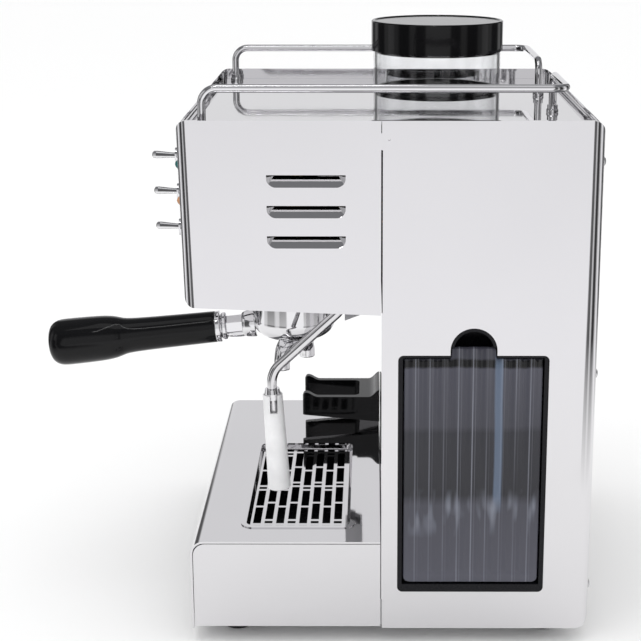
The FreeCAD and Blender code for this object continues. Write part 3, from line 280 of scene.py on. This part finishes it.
STEEL = (0.735, 0.727, 0.742)
FINISHES = {
    "polished_steel": polished_metal("polished_steel", STEEL, (0.025, 0.055), 0.00015, 0.07),
    "chrome": polished_metal("chrome", (0.78, 0.775, 0.79), (0.03, 0.055), 0.00004, 0.05),
    "black_gloss": gloss_plastic("black_gloss", (0.004, 0.004, 0.0045), (0.05, 0.11)),
    "black_satin": grained_plastic("black_satin", (0.006, 0.006, 0.008), (0.2, 0.32),
                                   Specular_IOR_Level=0.2),
    "black_rubber": grained_plastic("black_rubber", (0.018, 0.018, 0.019), (0.62, 0.85), 900, 0.00008),
    "white_sleeve": grained_plastic("white_sleeve", (0.86, 0.86, 0.87), (0.38, 0.5), 1300, 0.00003,
                                    Subsurface_Weight=0.15, Subsurface_Radius=(0.004, 0.004, 0.004),
                                    Subsurface_Scale=0.3),
    "clear_plastic": clear_plastic("clear_plastic", (0.97, 0.975, 0.98), (0.01, 0.05)),
    "smoke_plastic": smoked_plastic("smoke_plastic"),
    "brass": machined_metal("brass", (0.80, 0.60, 0.30), (0.18, 0.32), 1400),
    "copper": machined_metal("copper", (0.86, 0.46, 0.30), (0.16, 0.34), 700),
    "burr_steel": machined_metal("burr_steel", (0.52, 0.52, 0.54), (0.25, 0.4), 2200),
    "zinc_steel": machined_metal("zinc_steel", (0.66, 0.66, 0.67), (0.28, 0.45), 1000),
    "grey_plastic": grained_plastic("grey_plastic", (0.60, 0.60, 0.62), (0.3, 0.42)),
    "motor_enamel": grained_plastic("motor_enamel", (0.05, 0.05, 0.055), (0.3, 0.5), 500, 0.0001),
    "circuit_board": circuit_board("circuit_board"),
    "lamp_green": lamp_glass("lamp_green", (0.03, 0.15, 0.145), (0.02, 0.2, 0.19)),
    "lamp_amber": lamp_glass("lamp_amber", (0.62, 0.34, 0.19), (0.6, 0.3, 0.15)),
    "silicone": grained_plastic("silicone", (0.7, 0.7, 0.72), (0.4, 0.55), 800, Transmission_Weight=0.2),
}


def dress_frame():
    """Give every CAD node the finish of its slot."""
    for part in frame["record"]["subparts"]:
        mesh = NODES[part["node"]].data
        mesh.materials.clear()
        mesh.materials.append(FINISHES[part["material_slot"]])


# ---- mesh building ----
def scaled(points):
    """Points given in millimetres, in metres."""
    return [tuple(c * MM for c in point) for point in points]


def round_off(depth, radius):
    """How far a rounded edge falls away at a depth in from the edge."""
    return radius - math.sqrt(max(radius ** 2 - (radius - min(depth, radius)) ** 2, 0))


def piece(name, build, body, slot, *replaced):
    """Object from a bmesh, riding on a body, with a slot's finish, standing for CAD nodes."""
    mesh = bpy.data.meshes.new(name)
    build.to_mesh(mesh)
    build.free()
    made = bpy.data.objects.new(name, mesh)
    bpy.context.scene.collection.objects.link(made)
    mesh.materials.append(FINISHES[slot])
    mesh.shade_smooth()
    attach(made, body)
    if replaced:
        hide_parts(*replaced)
    return made


def shade(made, degrees=32):
    """Smooth shading that keeps edges sharper than an angle."""
    made.data.shade_smooth()
    made.data.set_sharp_from_angle(angle=math.radians(degrees))


def bevelled(made, width, segments=3, degrees=40):
    """Round the sharp edges by a real radius."""
    cut = made.modifiers.new("rounded edges", "BEVEL")
    cut.width = width
    cut.segments = segments
    cut.limit_method = "ANGLE"
    cut.angle_limit = math.radians(degrees)
    cut.use_clamp_overlap = True
    even = made.modifiers.new("even shading", "WEIGHTED_NORMAL")
    even.keep_sharp = True


def lathe(profile, place, axis=Z, steps=96, build=None, phase=0.0):
    """Surface of revolution from (radius, height) points, stood at a place along an axis."""
    build = build or bmesh.new()
    turn = Z.rotation_difference(axis).to_matrix()
    rings = []
    for radius, height in profile:
        if radius < 1e-6:
            rings.append([build.verts.new(place + turn @ Vector((0, 0, height)))])
            continue
        loop = []
        for k in range(steps):
            angle = 2 * math.pi * k / steps + phase
            spot = Vector((radius * math.cos(angle), radius * math.sin(angle), height))
            loop.append(build.verts.new(place + turn @ spot))
        rings.append(loop)
    for low, high in zip(rings, rings[1:]):
        for k in range(steps):
            after = (k + 1) % steps
            corners = []
            for ring, spot in ((low, k), (low, after), (high, after), (high, k)):
                vert = ring[spot % len(ring)]
                if vert not in corners:
                    corners.append(vert)
            if len(corners) > 2:
                build.faces.new(corners)
    return build


def rounded(profile, radius, steps=4):
    """A profile with each inner corner replaced by a small arc."""
    points = [Vector(p) for p in profile]
    made = [points[0]]
    for before, corner, after in zip(points, points[1:], points[2:]):
        back, ahead = before - corner, after - corner
        reach = min(radius, back.length * 0.45, ahead.length * 0.45)
        first = corner + back.normalized() * reach
        last = corner + ahead.normalized() * reach
        for k in range(steps + 1):
            t = k / steps
            made.append(first * (1 - t) ** 2 + corner * 2 * t * (1 - t) + last * t ** 2)
    made.append(points[-1])
    return [tuple(p) for p in made]


def smooth_through(points, count):
    """Points on a smooth curve through a few given ones."""
    ends = [points[0] * 2 - points[1]] + list(points) + [points[-1] * 2 - points[-2]]
    made = []
    for a, b, c, d in zip(ends, ends[1:], ends[2:], ends[3:]):
        for k in range(count):
            t = k / count
            made.append(((b * 2) + (c - a) * t + (a * 2 - b * 5 + c * 4 - d) * t * t
                         + (b * 3 - a - c * 3 + d) * t ** 3) * 0.5)
    made.append(points[-1].copy())
    return made


def swept(path, radii, build=None, steps=32):
    """Closed tube along a path with a radius at each of its points."""
    build = build or bmesh.new()
    ahead = (path[1] - path[0]).normalized()
    side = ahead.orthogonal().normalized()
    rings = []
    for k, (spot, radius) in enumerate(zip(path, radii)):
        step = (path[min(k + 1, len(path) - 1)] - path[max(k - 1, 0)]).normalized()
        side = ahead.rotation_difference(step) @ side
        ahead = step
        across = ahead.cross(side)
        rings.append([build.verts.new(spot + (side * math.cos(a) + across * math.sin(a)) * radius)
                      for a in (2 * math.pi * j / steps for j in range(steps))])
    for low, high in zip(rings, rings[1:]):
        for j in range(steps):
            build.faces.new((low[j], low[(j + 1) % steps], high[(j + 1) % steps], high[j]))
    build.faces.new(reversed(rings[0]))
    build.faces.new(rings[-1])
    return build


def applied(made):
    """Bake an object's modifiers into its mesh."""
    graph = bpy.context.evaluated_depsgraph_get()
    graph.update()
    mesh = bpy.data.meshes.new_from_object(made.evaluated_get(graph))
    made.modifiers.clear()
    made.data = mesh
    return made


def fused(name, build, body, slot, voxel, smoothing, *replaced):
    """One cast surface from overlapping closed shapes: remeshed, then smoothed."""
    made = piece(name, build, body, slot, *replaced)
    melt = made.modifiers.new("melt", "REMESH")
    melt.mode = "VOXEL"
    melt.voxel_size = voxel
    melt.use_smooth_shade = True
    soften = made.modifiers.new("soften", "SMOOTH")
    soften.iterations = smoothing
    soften.factor = 0.5
    return applied(made)


# ---- portafilter ----
CUP_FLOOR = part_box("portafilter_cup")[0].z
GROUP_AXIS = centre_of("shower_screw")
HANDLE_HEIGHT = CUP_FLOOR + 13.6 * MM
DROOP = math.radians(6.1)
HANDLE_AXIS = Vector((0, -math.cos(DROOP), -math.sin(DROOP)))
HANDLE_START = 63 * MM
NECK_START = 30.5 * MM


def on_handle(distance, drop=0.0):
    """Point on the handle's centre line, or a little below it, at a distance from the group's axis."""
    start = Vector((GROUP_AXIS.x, GROUP_AXIS.y, HANDLE_HEIGHT))
    below = HANDLE_AXIS.cross(X).normalized()
    if below.z > 0:
        below = -below
    return start + HANDLE_AXIS * distance + below * drop


def handle_grip():
    """Gloss handle: slim at the neck, a waist, a full end and a shallow dimple in the tip."""
    outline = [(12.0, 0), (12.4, 0.5), (12.6, 14), (12.8, 30), (13.1, 48), (13.6, 64), (14.3, 72),
               (15.5, 76.5), (16.7, 81), (17.7, 88), (18.2, 98), (18.45, 112), (18.4, 121), (17.6, 126.0),
               (15.4, 129.9), (12.2, 132.1), (8.6, 133.1), (6.0, 133.2)]
    curve = smooth_through([Vector(p) * MM for p in outline], 5)
    bore = scaled([(0, 30), (5.1, 30), (5.1, 0)])
    dimple = scaled([(5.4, 133.0), (5.2, 132.2), (0, 132.0)])
    profile = bore + [tuple(p) for p in curve] + dimple
    build = lathe(profile, on_handle(HANDLE_START), HANDLE_AXIS, 128)
    made = piece("handle_grip", build, "portafilter", "black_gloss", "portafilter_handle")
    shade(made, 50)


def handle_neck():
    """Chromed casting between cup and handle: boss, six-sided bar, rib below and two collars."""
    start = on_handle(NECK_START)
    build = bmesh.new()
    boss = rounded([(0, 0), (11.2, 0), (10.9, 4.5), (10.2, 8.5), (9.2, 10.8), (0, 10.8)], 1.2)
    small = rounded([(0, 23.2), (9.6, 23.2), (10.9, 24.0), (10.9, 26.4), (10.2, 27.2), (0, 27.2)], 0.4)
    large = rounded([(0, 28.0), (12.0, 28.0), (12.5, 28.5), (12.5, 31.7), (12.1, 32.2), (0, 32.2)], 0.3)
    groove = [(0, 27.0), (9.4, 27.0), (9.4, 28.2), (0, 28.2)]
    shank = [(0, 30), (4.8, 30), (4.8, 58), (4.2, 59.5), (0, 59.5)]
    for outline, steps in ((boss, 64), (small, 64), (large, 64), (groove, 64), (shank, 32)):
        lathe(scaled(outline), start, HANDLE_AXIS, steps, build)
    across = 6.9 / math.cos(math.pi / 6)  # to the corners of a bar 13.8 mm over its flats
    bar = [(0, 9), (across, 9), (across, 24), (0, 24)]
    lathe(scaled(bar), start, HANDLE_AXIS, 6, build, math.pi / 6)
    made = piece("handle_neck", build, "portafilter", "chrome", "portafilter_stem")
    shade(made, 30)
    bevelled(made, 0.35 * MM, 2)
    line = scaled([(1, 5.2), (6, 6.9), (14, 7.2), (22, 6.6), (26, 5.6)])
    path = smooth_through([on_handle(NECK_START + along, drop) for along, drop in line], 6)
    sizes = [3.1 * MM * (1 - 0.12 * abs(2 * k / (len(path) - 1) - 1)) for k in range(len(path))]
    piece("handle_neck_rib", swept(path, sizes), "portafilter", "chrome")


def filter_cup():
    """Chromed bowl that runs smoothly into its floor, with the two lugs that lock in the group."""
    bowl = [(7, 0), (16, 0.1), (24.5, 2.2), (30.4, 6.8), (33.0, 13.2), (33.3, 17)]
    outer = [tuple(p) for p in smooth_through([Vector(p) for p in bowl], 8)]
    inner = [(33.3, 57.3), (32.6, 58), (31.2, 58), (30.6, 57.4), (30.6, 18), (28, 10), (22, 5), (7, 4),
             (7, 0)]
    axis = Vector((GROUP_AXIS.x, GROUP_AXIS.y, CUP_FLOOR))
    build = lathe(scaled(outer + inner), axis, Z, 128)
    lug = scaled([(32.6, 50.5), (37.4, 50.5), (38, 51.2), (38, 55.8), (37.4, 56.5), (32.6, 56.5)])
    for side in (0, math.pi):
        slices = []
        for k in range(9):
            angle = side + math.radians(15) * (k / 4 - 1)
            across = Vector((math.cos(angle), math.sin(angle), 0))
            slices.append([build.verts.new(axis + across * r + Z * h) for r, h in lug])
        for first, second in zip(slices, slices[1:]):
            for j in range(len(lug)):
                after = (j + 1) % len(lug)
                build.faces.new((first[j], first[after], second[after], second[j]))
        build.faces.new(slices[0])
        build.faces.new(reversed(slices[-1]))
    bmesh.ops.recalc_face_normals(build, faces=build.faces)
    shade(piece("filter_cup", build, "portafilter", "chrome", "portafilter_cup"), 40)


SPOUT_YAW = math.radians(-27)
ARM_REACH = 20.2  # millimetres


def spout_arm(side, line, steps, sizes, build):
    """One arm of the spout along (reach, height below the cup) points in millimetres."""
    axis = Vector((GROUP_AXIS.x, GROUP_AXIS.y, 0))
    turn = Matrix.Rotation(SPOUT_YAW, 3, "Z")
    spots = [axis + turn @ Vector((side * r * MM, 0, 0)) + Z * (CUP_FLOOR + h * MM) for r, h in line]
    path = smooth_through(spots, steps)
    last = len(path) - 1
    swept(path, [sizes(k / last) * MM for k in range(len(path))], build)


def twin_spout():
    """Cast spout: a bell under the cup that flares into two arms with open ends."""
    drop = (CUP_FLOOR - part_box("portafilter_spout")[0].z) / MM
    build = bmesh.new()
    bell = [(0, 0.0), (10.6, 0.0), (10.9, -2), (11.6, -5), (11.2, -8.5), (8.0, -11), (0, -11.5)]
    lathe([(r * MM, CUP_FLOOR + h * MM) for r, h in bell], Vector((*GROUP_AXIS.xy, 0)), Z, 64, build)
    outside = [(4, -5), (10, -6), (15.2, -8.6), (18.6, -12.5), (20.0, -17), (ARM_REACH, -drop)]
    for side in (-1, 1):
        spout_arm(side, outside, 8, lambda share: 9.6 - 3.2 * min(1, 1.5 * share), build)
    made = fused("twin_spout", build, "portafilter", "chrome", 0.55 * MM, 12, "portafilter_spout")
    bores = bmesh.new()
    inside = [(12, -7.5), (17, -10.5), (ARM_REACH, -17), (ARM_REACH, -drop - 3)]
    for side in (-1, 1):
        spout_arm(side, inside, 6, lambda share: 4.1, bores)
    hollow = bpy.data.meshes.new("spout_bores")
    bores.to_mesh(hollow)
    bores.free()
    cutter = bpy.data.objects.new("spout_bores", hollow)
    bpy.context.scene.collection.objects.link(cutter)
    cut = made.modifiers.new("bores", "BOOLEAN")
    cut.object = cutter
    cut.solver = "EXACT"
    applied(made)
    bpy.data.objects.remove(cutter)
    shade(made, 45)


# ---- portafilter fork ----
PRONG_WIDTH = 6 * MM
FORK_GAP = 51 * MM      # length of the gap from the prongs' tips
FORK_FLAT = 23.4 * MM   # height of the level upper edge above the fork's lowest point
FORK_NOSE = 3.2 * MM    # rounding of the tips seen from the side
FORK_TIP = 2.4 * MM     # rounding of the tips seen from above
FORK_CORNER = 5 * MM    # rounding of the gap's inner corners
FORK_LIFT = 4.2 * MM    # how far the tips stand above the level edge
FORK_SLOPE = 11 * MM    # length of the rise at either end
FORK_TAPER = 6.5 * MM   # how far the lower edge climbs towards the tips


def ease(distance):
    """One at no distance, falling smoothly to zero over the fork's slope."""
    return 0.5 + 0.5 * math.cos(math.pi * min(distance / FORK_SLOPE, 1))


def arc(middle, radius, start, stop, steps=8):
    """Points on an arc in plan, angles in degrees."""
    angles = [math.radians(start + (stop - start) * k / steps) for k in range(steps + 1)]
    return [(middle[0] + radius * math.cos(a), middle[1] + radius * math.sin(a)) for a in angles]


def fork_moulding():
    """Moulded fork: two prongs with raised tips round a square gap, flared where it meets the column."""
    low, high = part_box("portafilter_fork")
    half = (high.x - low.x) / 2
    middle = (high.x + low.x) / 2
    gap = half - PRONG_WIDTH
    end = low.y + FORK_GAP
    flat = low.z + FORK_FLAT

    def top(y):
        """Height of the upper edge."""
        front = y - low.y
        lift = FORK_LIFT * ease(max(front - 3 * MM, 0))
        flare = (high.z - flat) * ease(high.y - y) ** 1.5
        return flat + lift + flare - round_off(front, FORK_NOSE)

    def bottom(y):
        """Height of the lower edge."""
        return low.z + FORK_TAPER * (high.y - y) / (high.y - low.y)

    tip_y = low.y + FORK_TIP
    right = [(half, high.y)]
    right += arc((half - FORK_TIP, tip_y), FORK_TIP, 0, -90, 5)
    right += arc((gap + FORK_TIP, tip_y), FORK_TIP, 270, 180, 5)
    right += arc((gap - FORK_CORNER, end - FORK_CORNER), FORK_CORNER, 0, 90, 8)
    plan = right + [(-x, y) for x, y in reversed(right)]
    build = bmesh.new()
    floor_face = build.faces.new([build.verts.new((middle + x, y, 0)) for x, y in plan])
    raised = bmesh.ops.extrude_face_region(build, geom=[floor_face])["geom"]
    for vert in raised:
        if isinstance(vert, bmesh.types.BMVert):
            vert.co.z = 1
    stops = [low.y + (1 - math.cos(math.pi / 2 * k / 6)) * FORK_NOSE for k in range(1, 7)]
    stops += [low.y + FORK_NOSE + FORK_SLOPE * k / 10 for k in range(1, 11)]
    stops += [high.y - FORK_SLOPE * k / 12 for k in range(12, 0, -1)]
    for y in stops:
        everything = list(build.verts) + list(build.edges) + list(build.faces)
        bmesh.ops.bisect_plane(build, geom=everything, plane_co=(0, y, 0), plane_no=Y, dist=1e-6)
    for vert in build.verts:
        vert.co.z = top(vert.co.y) if vert.co.z > 0.5 else bottom(vert.co.y)
    bmesh.ops.recalc_face_normals(build, faces=build.faces)
    made = piece("fork_moulding", build, "machine", "black_gloss", "portafilter_fork")
    bevelled(made, 0.9 * MM, 3, 50)
    shade(made, 50)


# ---- water tank ----
FLUTES = 9
FLUTE_DEPTH = 1.3 * MM
PLATE_THICK = 3.4 * MM
PLATE_EDGE = 1.5 * MM     # rounding of the plate's edges
TANK_CORNER = 5 * MM      # rounding of the lower corners
TAB_HALF = 16.2 * MM
TAB_RISE = 8 * MM         # how far the finger tab stands above the plate's shoulders
TAB_SLOPE = 0.8 * MM      # width over which the tab's sides rise
PLATE_COLUMNS = 230


def tank_plate(low, high, build):
    """Front of the tank: upright flutes between rounded edges, with the finger tab above."""
    middle = (low.y + high.y) / 2
    shoulder = high.z - TAB_RISE
    rows = [0, 0.004, 0.009, 0.015, 0.022, 0.03, 0.037, 0.044, 0.051, 0.058, 0.066, 0.075]
    rows += [0.075 + 0.885 * k / 24 for k in range(1, 25)] + [0.968, 0.976, 0.984, 0.99, 0.995, 1]

    def ends(y):
        """Lower and upper ends of the plate at a place across it."""
        lift = round_off(min(y - low.y, high.y - y), TANK_CORNER)
        rise = min(max((TAB_HALF + TAB_SLOPE / 2 - abs(y - middle)) / TAB_SLOPE, 0), 1)
        return low.z + lift, shoulder + (high.z - shoulder) * rise

    def relief(y, z):
        """How far the face lies behind its foremost plane."""
        first, last = ends(y)
        place = (y - middle) / FLUTE_PITCH + FLUTES / 2
        share = place - math.floor(place) if 0 <= place < FLUTES else 0.0
        fade = min(max((z - low.z - 6.5 * MM) / (4 * MM), 0), 1)
        scoop = FLUTE_DEPTH * (1 - (2 * share - 1) ** 2) * math.sqrt(fade)
        return scoop + round_off(min(y - low.y, high.y - y, z - first, last - z), PLATE_EDGE)

    front, back = [], []
    for k in range(PLATE_COLUMNS + 1):
        y = low.y + (high.y - low.y) * k / PLATE_COLUMNS
        first, last = ends(y)
        heights = [first + (last - first) * r for r in rows]
        front.append([build.verts.new((high.x - relief(y, z), y, z)) for z in heights])
        back.append([build.verts.new((high.x - PLATE_THICK, y, z)) for z in heights])
    for near, far in zip(front, front[1:]):
        for j in range(len(rows) - 1):
            build.faces.new((near[j], far[j], far[j + 1], near[j + 1]))
    for near, far in zip(back, back[1:]):
        for j in range(len(rows) - 1):
            build.faces.new((near[j], near[j + 1], far[j + 1], far[j]))
    for k in range(PLATE_COLUMNS):
        for j in (0, -1):
            build.faces.new((front[k][j], front[k + 1][j], back[k + 1][j], back[k][j]))
    for k in (0, PLATE_COLUMNS):
        for j in range(len(rows) - 1):
            build.faces.new((front[k][j], front[k][j + 1], back[k][j + 1], back[k][j]))


def tank_tub(low, high, build):
    """Open tub behind the front plate: a trough with rounded lower corners, and its end wall."""
    wall = 2.2 * MM
    inmost = low.x + 15 * MM  # the nozzle reaches on to low.x
    rim = high.z - 13.5 * MM

    def trough(inset, floor_z):
        """Outline of the trough from one rim to the other."""
        corner = TANK_CORNER - inset * 0.6
        left, right = low.y + inset, high.y - inset
        return ([(left, rim)] + arc((left + corner, floor_z + corner), corner, 180, 270, 6)
                + arc((right - corner, floor_z + corner), corner, 270, 360, 6) + [(right, rim)])

    def prism(outline, start, stop):
        """Outline drawn along X, open at both ends; gives its two end loops."""
        loops = [[build.verts.new((x, y, z)) for y, z in outline] for x in (start, stop)]
        for j in range(len(outline)):
            after = (j + 1) % len(outline)
            build.faces.new((loops[0][j], loops[0][after], loops[1][after], loops[1][j]))
        return loops

    inside = trough(wall, low.z + 3 * MM)
    outline = trough(0, low.z) + inside[::-1]
    count = len(outline)
    sections = prism(outline, inmost, high.x - PLATE_THICK)
    for j in range(count // 2 - 1):
        for section in sections:
            build.faces.new((section[j], section[j + 1], section[count - 2 - j], section[count - 1 - j]))
    for section in prism(inside, inmost, inmost + wall):
        build.faces.new(section)
    nozzle = [(0, 0), (4.2, 0), (5, 0.8), (5, 16), (0, 16)]
    foot = Vector((low.x, (low.y + high.y) / 2, low.z + 13 * MM))
    lathe(scaled(nozzle), foot, X, 32, build)


def fluted_tank():
    """Smoked water tank with its fluted front, replacing the plain CAD shell."""
    low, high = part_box("water_tank")
    build = bmesh.new()
    tank_plate(low, high, build)
    tank_tub(low, high, build)
    bmesh.ops.recalc_face_normals(build, faces=build.faces)
    shade(piece("fluted_tank", build, "water_tank", "smoke_plastic", "water_tank"), 40)


# ---- studio ----
FLOOR_TONE = (0.9, 0.9, 0.9)
FLOOR_HALF = 9.0
# tones of the surroundings by direction: 0 is along X, to either side, and 1 is along Y
SURROUNDINGS = ((0.0, 0.9), (0.22, 0.9), (0.26, 0.12), (0.42, 0.08), (0.46, 0.55), (0.54, 0.55),
                (0.60, 0.03), (0.78, 0.03), (0.84, 0.45), (0.90, 0.45), (0.94, 0.88), (1.0, 0.88))


def floor():
    """Pale floor. Seen directly it is plain; reflections also pick up dark surroundings far out on it."""
    build = bmesh.new()
    bmesh.ops.create_grid(build, x_segments=24, y_segments=24, size=FLOOR_HALF)
    mesh = bpy.data.meshes.new("floor")
    build.to_mesh(mesh)
    build.free()
    made = bpy.data.objects.new("floor", mesh)
    bpy.context.scene.collection.objects.link(made)
    paint, tree, shader = blank("floor", Roughness=0.75)
    where = add(tree, "TexCoord").outputs["Object"]
    away = add(tree, "VectorMath", {0: where}, operation="LENGTH").outputs["Value"]
    glossy = add(tree, "LightPath").outputs["Is Glossy Ray"]
    share = maths(tree, "MULTIPLY", span(tree, away, 0, 1, 0.5, 1.0), glossy)
    colour = layered(tree, share, FLOOR_TONE, stripes(tree, where))
    wire(tree, shader, Base_Color=colour, Normal=bump(tree, noise(tree, 260, 3), 0.1, 0.0001))
    mesh.materials.append(paint)


def stripes(tree, direction):
    """Bands of light and dark surroundings by compass direction, the same in all four quarters."""
    part = add(tree, "SeparateXYZ", {"Vector": direction})
    ahead, aside = [maths(tree, "ABSOLUTE", part.outputs[k]) for k in ("X", "Y")]
    share = maths(tree, "DIVIDE", maths(tree, "ARCTAN2", aside, ahead), math.pi / 2)
    return ramp_of(tree, share, SURROUNDINGS, (1, 1, 1.015))


def sky():
    """Plain white studio. Reflections see it dimmer overhead, with the surroundings' bands lower down."""
    world = bpy.data.worlds.new("studio")
    world.use_nodes = True
    tree = world.node_tree
    tree.nodes.clear()
    direction = add(tree, "TexCoord").outputs["Generated"]
    height = add(tree, "SeparateXYZ", {"Vector": direction}).outputs["Z"]
    low = span(tree, height, 1, 0, 0.4, 0.8)
    strength = span(tree, height, 0.9, 0.22, 0.42, 0.58)
    bands = layered(tree, low, (0.95, 0.96, 1), stripes(tree, direction))
    around = add(tree, "Background", {"Color": bands, "Strength": strength})
    plain = add(tree, "Background", {"Color": (1, 1, 1, 1), "Strength": 1.17})
    glossy = add(tree, "LightPath").outputs["Is Glossy Ray"]
    mixed = add(tree, "MixShader", {0: glossy, 1: plain.outputs[0], 2: around.outputs[0]})
    out = add(tree, "OutputWorld")
    tree.links.new(mixed.outputs[0], out.inputs["Surface"])
    bpy.context.scene.world = world


def soft_box(name, place, target, width, height, power):
    """Rectangular area light aimed at a point."""
    light = bpy.data.lights.new(name, "AREA")
    light.shape = "RECTANGLE"
    light.size = width
    light.size_y = height
    light.energy = power
    made = bpy.data.objects.new(name, light)
    bpy.context.scene.collection.objects.link(made)
    made.location = place
    made.rotation_euler = (target - place).to_track_quat("-Z", "Y").to_euler()


def lights():
    """Overhead soft box, a fill from the front and a long thin strip overhead."""
    aim = Vector((0, 0, 0.25))
    soft_box("overhead", Vector((0.35, -0.1, 1.7)), aim, 1.2, 0.7, 2)
    soft_box("front fill", Vector((0.9, -1.6, 1.1)), aim, 0.5, 0.9, 1)
    soft_box("strip", Vector((0.45, -0.25, 1.6)), aim, 0.03, 1.4, 1.2)


def camera():
    """Camera on the user's right, looking across the machine and a little down."""
    place = Vector((1.1858, -0.0140, 0.5520))
    data = bpy.data.cameras.new("camera")
    data.lens = 83.35
    data.sensor_width = 36
    data.shift_x = -0.0730
    data.shift_y = -0.0944
    data.clip_end = 60
    pitch = math.radians(13.84)
    yaw = math.radians(-0.188)
    ahead = Vector((-math.cos(yaw) * math.cos(pitch), math.sin(yaw) * math.cos(pitch), -math.sin(pitch)))
    right = Vector((math.sin(yaw), math.cos(yaw), 0))
    up = right.cross(ahead)
    made = bpy.data.objects.new("camera", data)
    bpy.context.scene.collection.objects.link(made)
    turn = Matrix((right, up, -ahead)).transposed().to_4x4()
    made.matrix_world = Matrix.Translation(place) @ turn
    bpy.context.scene.camera = made
    bpy.context.scene.view_settings.view_transform = "Standard"


dress_frame()
handle_grip()
handle_neck()
filter_cup()
twin_spout()
fork_moulding()
fluted_tank()
floor()
sky()
lights()
camera()
